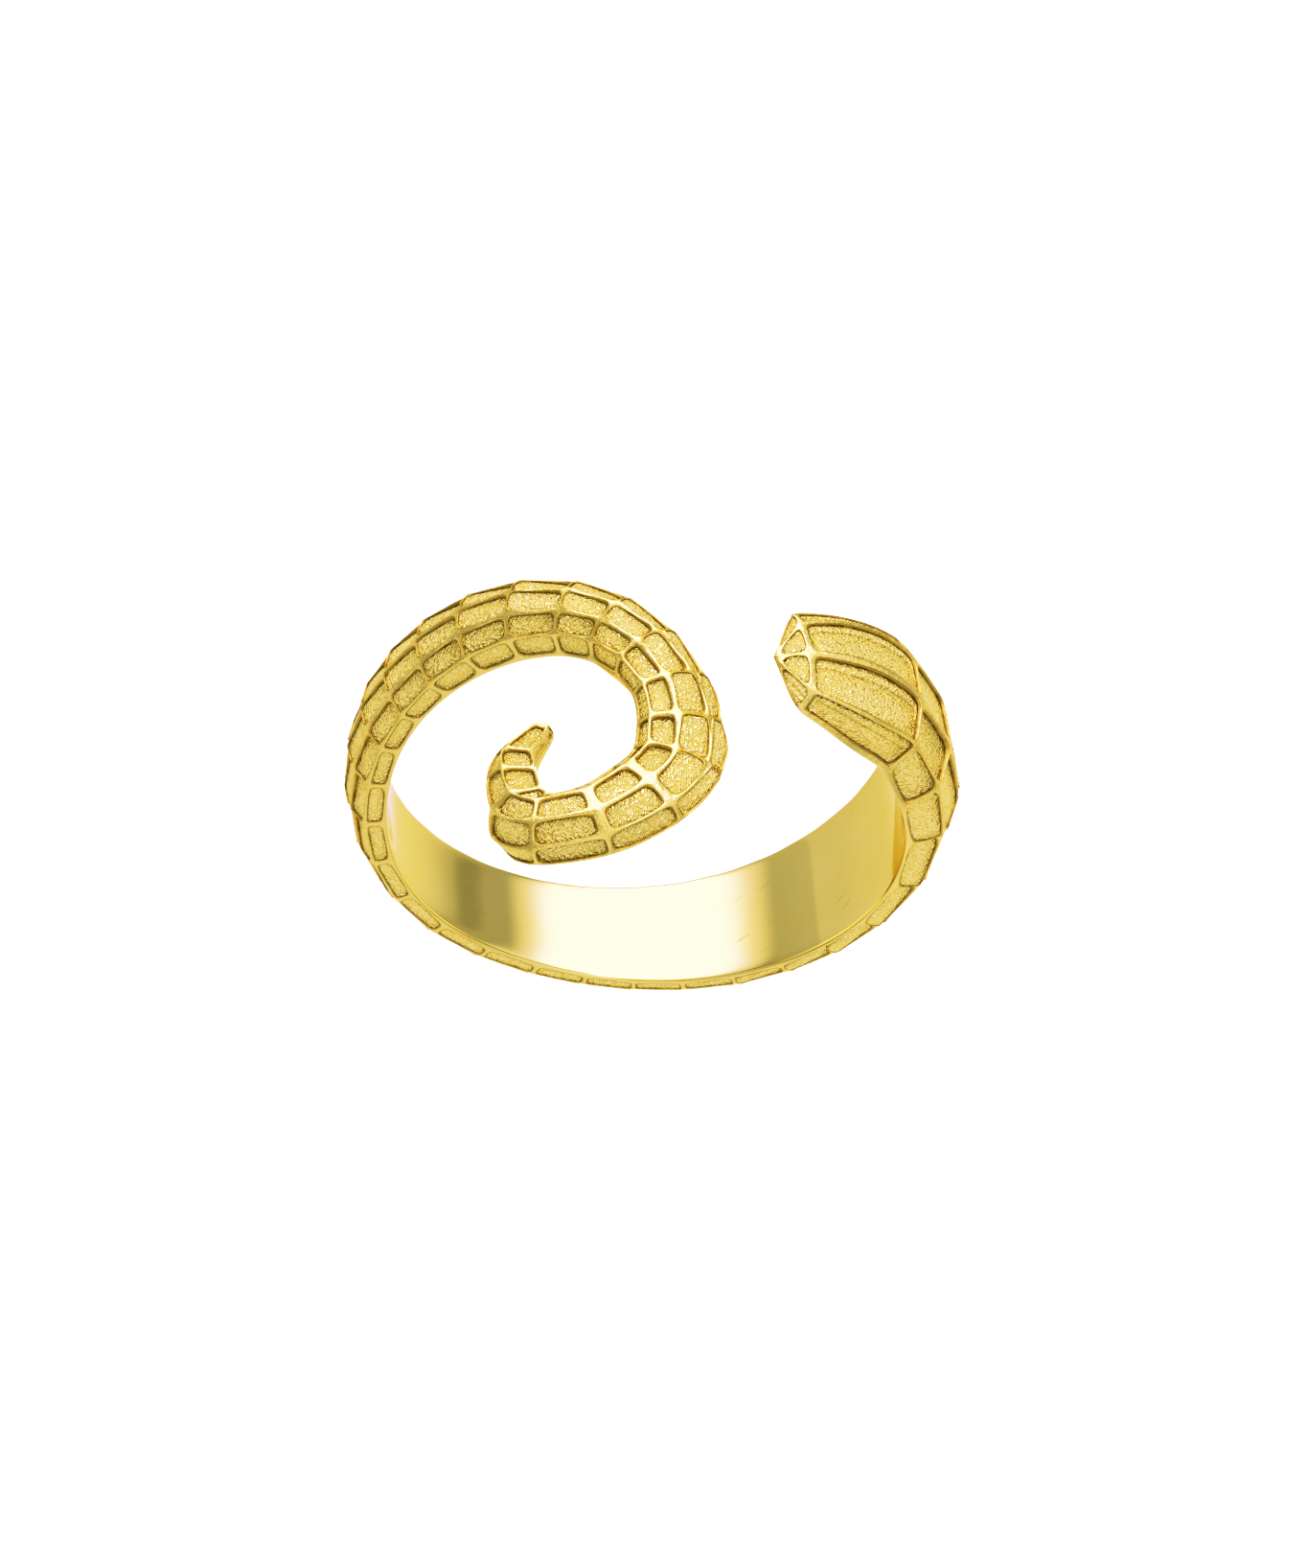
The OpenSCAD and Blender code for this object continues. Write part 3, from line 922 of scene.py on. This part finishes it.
def group(tree, made, values):
    return put(tree, "ShaderNodeGroup", values, node_tree=made).outputs


def opaque(colour):
    return (*colour, 1)


def mixed(tree, amount, first, second):
    return put(tree, "ShaderNodeMix", {0: amount, 6: first, 7: second}, data_type="RGBA").outputs[2]


def towards(tree, colour, mask, share, other):
    # a colour that takes a share of another where the mask is full
    return mixed(tree, maths(tree, "MULTIPLY", mask, share), colour, other)


def goldMaterial(name, finish):
    made = bpy.data.materials.new(name)
    made.use_nodes = True
    tree = made.node_tree
    shader = tree.nodes["Principled BSDF"]
    shader.inputs["Metallic"].default_value = 1
    shader.inputs["Roughness"].default_value = finish["rough"]
    shader.inputs["Specular Tint"].default_value = opaque(gold["edgeTint"])
    return made, tree, shader.inputs


def wornPlaces(tree, wear, times=1):
    # wear by Object coordinates in millimetres
    place = put(tree, "ShaderNodeTexCoord").outputs["Object"]
    place = put(tree, "ShaderNodeVectorMath", {0: place, "Scale": 1 / millimetre},
                operation="SCALE").outputs[0]
    return group(tree, wear, {"Place": place, "Patches": gold["wear"] * times})


def gridPlace(tree):
    return put(tree, "ShaderNodeUVMap", uv_map="grid").outputs[0]


def attribute(tree, name):
    return put(tree, "ShaderNodeAttribute", attribute_name=name).outputs["Fac"]


# how far a face takes the painted shade, from the painted shade of its points
def shadeMask(tree, finish):
    return smoothRange(tree, attribute(tree, "sunk"), *finish["edges"])


def roughRange(tree, value, low, high, finish):
    less, more = finish["roughSpread"]
    return smoothRange(tree, value, low, high, finish["rough"] + less, finish["rough"] + more)


def bump(tree, inputs, height, distance):
    node = put(tree, "ShaderNodeBump", {"Height": height, "Distance": distance * millimetre})
    tree.links.new(node.outputs["Normal"], inputs["Normal"])


def polishedGold(wear):
    ribs = gold["ribs"]
    made, tree, inputs = goldMaterial("polished_gold", ribs)
    worn = wornPlaces(tree, wear)
    colour = towards(tree, opaque(ribs["colour"]), worn["Patch"], ribs["worn"], opaque(ribs["light"]))
    # painted shade along the rib's edges
    colour = towards(tree, colour, shadeMask(tree, ribs), ribs["shadeShare"], opaque(gold["deep"]))
    tree.links.new(colour, inputs["Base Color"])
    tree.links.new(roughRange(tree, worn["Patch"], 0, 1, ribs), inputs["Roughness"])
    bump(tree, inputs, worn["Dents"], ribs["dents"])
    return made


def grainedGold(grain, wear):
    panels = gold["panels"]
    made, tree, inputs = goldMaterial("grained_gold", panels)
    tone = attribute(tree, "tone")
    along, across = panels["streak"]
    cast = group(tree, grain, {
        "Place": gridPlace(tree), "Tone": tone, "Turn": panels["slant"], "Along": along,
        "Across": across, "Pebble": panels["pebble"], "Ripple": panels["ripple"]})
    worn = wornPlaces(tree, wear)
    # painted highlight on the grain's crests, painted shade in its hollows and at the foot of the walls
    colour = mixed(tree, cast["Height"], opaque(panels["colour"]), opaque(panels["crests"]))
    colour = towards(tree, colour, cast["Low"], panels["hollows"], opaque(gold["low"]))
    colour = towards(tree, colour, shadeMask(tree, panels), panels["shadeShare"], opaque(gold["deep"]))
    tree.links.new(colour, inputs["Base Color"])
    patchAndTone = maths(tree, "ADD", worn["Patch"], tone)
    tree.links.new(roughRange(tree, patchAndTone, 0, 2, panels), inputs["Roughness"])
    bump(tree, inputs, cast["Height"], panels["height"])
    return made


def recessShadeGold(wear):
    recesses = gold["recesses"]
    made, tree, inputs = goldMaterial("recess_shade_gold", recesses)
    worn = wornPlaces(tree, wear, recesses["wear"])
    # painted shade, from the low colour towards the deep one at the foot of the walls
    colour = mixed(tree, shadeMask(tree, recesses), opaque(gold["low"]), opaque(gold["deep"]))
    colour = towards(tree, colour, worn["Patch"], recesses["worn"], opaque(gold["ribs"]["colour"]))
    tree.links.new(colour, inputs["Base Color"])
    bump(tree, inputs, worn["Dents"], recesses["dents"])
    return made


def fingerSideGold(scratches, wear):
    wall = gold["fingerSide"]
    made, tree, inputs = goldMaterial("finger_side_gold", wall)
    marks = group(tree, scratches, {"Place": gridPlace(tree), "Turn": wall["scratchTurn"]})
    worn = wornPlaces(tree, wear, wall["wear"])
    colour = towards(tree, opaque(wall["colour"]), worn["Patch"], wall["worn"], opaque(wall["light"]))
    colour = towards(tree, colour, marks["Lines"], wall["scratchDark"], opaque(gold["deep"]))
    tree.links.new(colour, inputs["Base Color"])
    brushed = roughRange(tree, marks["Brush"], *wall["brush"], wall)
    scratched = maths(tree, "MULTIPLY", marks["Lines"], wall["scratchRough"])
    tree.links.new(maths(tree, "ADD", brushed, scratched), inputs["Roughness"])
    height = maths(tree, "SUBTRACT", maths(tree, "MULTIPLY", marks["Brush"], wall["brushHeight"]),
                   marks["Lines"])
    bump(tree, inputs, height, wall["scratchDepth"])
    return made


def giveFinishes(thing):
    grain, wear, scratches = makeGrain(), makeWear(), makeScratches()
    for made in (polishedGold(wear), grainedGold(grain, wear), recessShadeGold(wear),
                 fingerSideGold(scratches, wear)):
        thing.data.materials.append(made)
    ribs, panels, recesses, fingerSide = range(4)
    places, zones, cells = (thing.data.attributes[name].data for name in ("place", "zone", "cell"))
    for face, zone, cell in zip(thing.data.polygons, zones, cells):
        # the finger side is polished, but for the claw's, which is grained
        onClaw = places[face.vertices[0]].value < tail["clawTo"]
        plain = ribs if cell.value != plainSkin else panels if onClaw else fingerSide
        # the walls of the panels take the painted shade of the recess gold
        face.material_index = (plain, recesses, panels, panels, panels)[zone.value]


seahorseTail = buildTail()
giveFinishes(seahorseTail)
makeSmall(seahorseTail)
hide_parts("ring")
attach(seahorseTail, "root")
print("tail finished")

# Camera at the photograph's angle
shot = {
    "tilt": 51.81,            # degrees between the finger's axis and the line of sight
    "roll": -4.56,
    "distance": 243.9,
    "pixelsPerMm": 31.566,
    "pivot": (0, 0, 4.6),     # a point in millimetres, and the pixel that shows it
    "pivotPixel": (673.85, 867.06),
    "size": (1364, 1636),
    "sensor": 36,
    "clip": (0.01, 10),       # metres
}


def addCamera():
    tilt, roll = radians(shot["tilt"]), radians(shot["roll"])
    pivot = Vector(shot["pivot"])
    towardsEye = Vector((0, -sin(tilt), cos(tilt)))
    right, up = Vector((-1, 0, 0)), Vector((0, -cos(tilt), -sin(tilt)))
    right, up = right * cos(roll) + up * sin(roll), up * cos(roll) - right * sin(roll)
    eye = pivot + towardsEye * shot["distance"]
    offX = (shot["size"][0] / 2 - shot["pivotPixel"][0]) / shot["pixelsPerMm"]
    offY = (shot["pivotPixel"][1] - shot["size"][1] / 2) / shot["pixelsPerMm"]
    back = (eye - (pivot + right * offX + up * offY)).normalized()
    side = up.cross(back).normalized()
    bpy.ops.object.camera_add()
    camera = bpy.context.active_object
    camera.name = "camera"
    turn = Matrix((side, back.cross(side), back)).transposed().to_4x4()
    camera.matrix_world = Matrix.Translation(eye * millimetre) @ turn
    data = camera.data
    data.sensor_width = shot["sensor"]
    data.lens = shot["distance"] * shot["pixelsPerMm"] / max(shot["size"]) * data.sensor_width
    data.clip_start, data.clip_end = shot["clip"]
    bpy.context.scene.camera = camera


# Light and colour of the studio
studio = {
    "floorSize": 2,           # metres
    "floor": (0.93, 0.93, 0.92),
    "floorRough": 0.9,
    "floorGloss": 0.2,
    "floorGlow": 2.7,         # brightness of the floor by itself, as of a light table
    "lampPlace": (0, -0.1, 0.6),   # a soft lamp that lights the floor alone
    "lampSize": 1.2,
    "lampPower": 30.0,
    "surround": 0.62,         # brightness all round, as the metal mirrors it
    "glows": (                # direction, angle of the full part and of its edge, brightness
        ((-0.08, -0.78, -0.62), 12, 50, 4.3),
        ((-0.62, -0.75, 0.1), 10, 50, 1.6),
        ((0.1, -0.2, 1.0), 5, 45, 1.0),
        ((-0.3, 0.9, -0.3), 10, 60, 0.72),
        ((0.9, -0.3, 0.45), 10, 60, -0.2),
        ((0.6, 0.8, 0.0), 68.2, 69.4, 0.19),
        ((0.7, 0.4, -0.6), 10, 70, 0.18),
        ((0.0, -0.5, 0.87), 8, 30, 0.6),
        ((-0.86, 0.2, 0.45), 10, 50, 0.2),
        ((0.12, 0.78, 0.6), 15, 50, 0.5),
        ((0.78, 0.62, -0.1), 10, 45, 0.25),
        ((-0.55, 0.72, -0.42), 10, 45, 0.25),
        ((-0.05, -0.3, -0.95), 8, 30, 0.4),
        ((0.66, -0.68, 0.2), 10, 35, 0.35),
        ((-0.786, 0.02, -0.618), 1, 8, -0.14),
    ),
    "white": 5.0,             # brightness that the curves bring to white
    "curves": {               # a brightness and how it is shown
        "red": (
            (0.138, 0.09), (0.3, 0.245), (0.49, 0.46), (0.63, 0.61), (0.8, 0.73), (1.13, 0.84),
            (1.59, 0.92), (2.25, 0.98),
        ),
        "green": (
            (0.132, 0.1), (0.29, 0.25), (0.52, 0.49), (0.77, 0.63), (1.09, 0.72), (1.53, 0.86),
            (2.16, 0.98),
        ),
        "blue": (
            (0.06, 0.03), (0.11, 0.07), (0.24, 0.18), (0.37, 0.34), (0.48, 0.55), (0.7, 0.78),
            (1.3, 0.87), (2.7, 0.98),
        ),
    },
}


def addFloor():
    bpy.ops.mesh.primitive_plane_add(size=studio["floorSize"], location=(0, 0, cadBox[0].z))
    floor = bpy.context.active_object
    floor.name = "floor"
    made = bpy.data.materials.new("pale_floor")
    made.use_nodes = True
    shader = made.node_tree.nodes["Principled BSDF"]
    shader.inputs["Base Color"].default_value = opaque(studio["floor"])
    shader.inputs["Roughness"].default_value = studio["floorRough"]
    shader.inputs["Specular IOR Level"].default_value = studio["floorGloss"]
    shader.inputs["Emission Color"].default_value = (1, 1, 1, 1)
    shader.inputs["Emission Strength"].default_value = studio["floorGlow"]
    floor.data.materials.append(made)
    bpy.ops.object.transform_apply(location=True, rotation=True, scale=True)
    floor.visible_glossy = False


def addFloorLight():
    bpy.ops.object.light_add(type="AREA", location=studio["lampPlace"])
    lamp = bpy.context.active_object
    lamp.name = "floor_light"
    lamp.data.shape = "RECTANGLE"
    lamp.data.size = lamp.data.size_y = studio["lampSize"]
    lamp.data.energy = studio["lampPower"]
    lamp.rotation_euler = (-Vector(studio["lampPlace"])).to_track_quat("-Z", "Y").to_euler()
    lamp.visible_glossy = False


def addWorld():
    world = bpy.data.worlds.new("studio")
    bpy.context.scene.world = world
    world.use_nodes = True
    tree = world.node_tree
    ground = tree.nodes["Background"]
    ground.inputs["Color"].default_value = (1, 1, 1, 1)
    way = put(tree, "ShaderNodeTexCoord").outputs["Generated"]
    total = studio["surround"]
    for axis, inner, outer, bright in studio["glows"]:
        nearness = put(tree, "ShaderNodeVectorMath", {0: way, 1: Vector(axis).normalized()},
                       operation="DOT_PRODUCT").outputs["Value"]
        glow = smoothRange(tree, nearness, cos(radians(outer)), cos(radians(inner)), 0, bright)
        total = maths(tree, "ADD", glow, total)
    # seen straight from the camera it is white, and only the metal mirrors its glows
    straight = put(tree, "ShaderNodeLightPath").outputs["Is Camera Ray"]
    seen = maths(tree, "MULTIPLY_ADD", straight, studio["white"], total)
    tree.links.new(seen, ground.inputs["Strength"])


def setColours():
    view = bpy.context.scene.view_settings
    view.view_transform = "Standard"
    view.use_curve_mapping = True
    curves = view.curve_mapping
    curves.white_level = (studio["white"],) * 3
    curves.extend = "HORIZONTAL"
    for curve, points in zip(curves.curves, studio["curves"].values()):
        for bright, shown in points:
            point = curve.points.new(bright / studio["white"], shown)
            point.handle_type = "AUTO_CLAMPED"
    curves.update()


addCamera()
addFloor()
addWorld()
addFloorLight()
setColours()
print("stage finished")
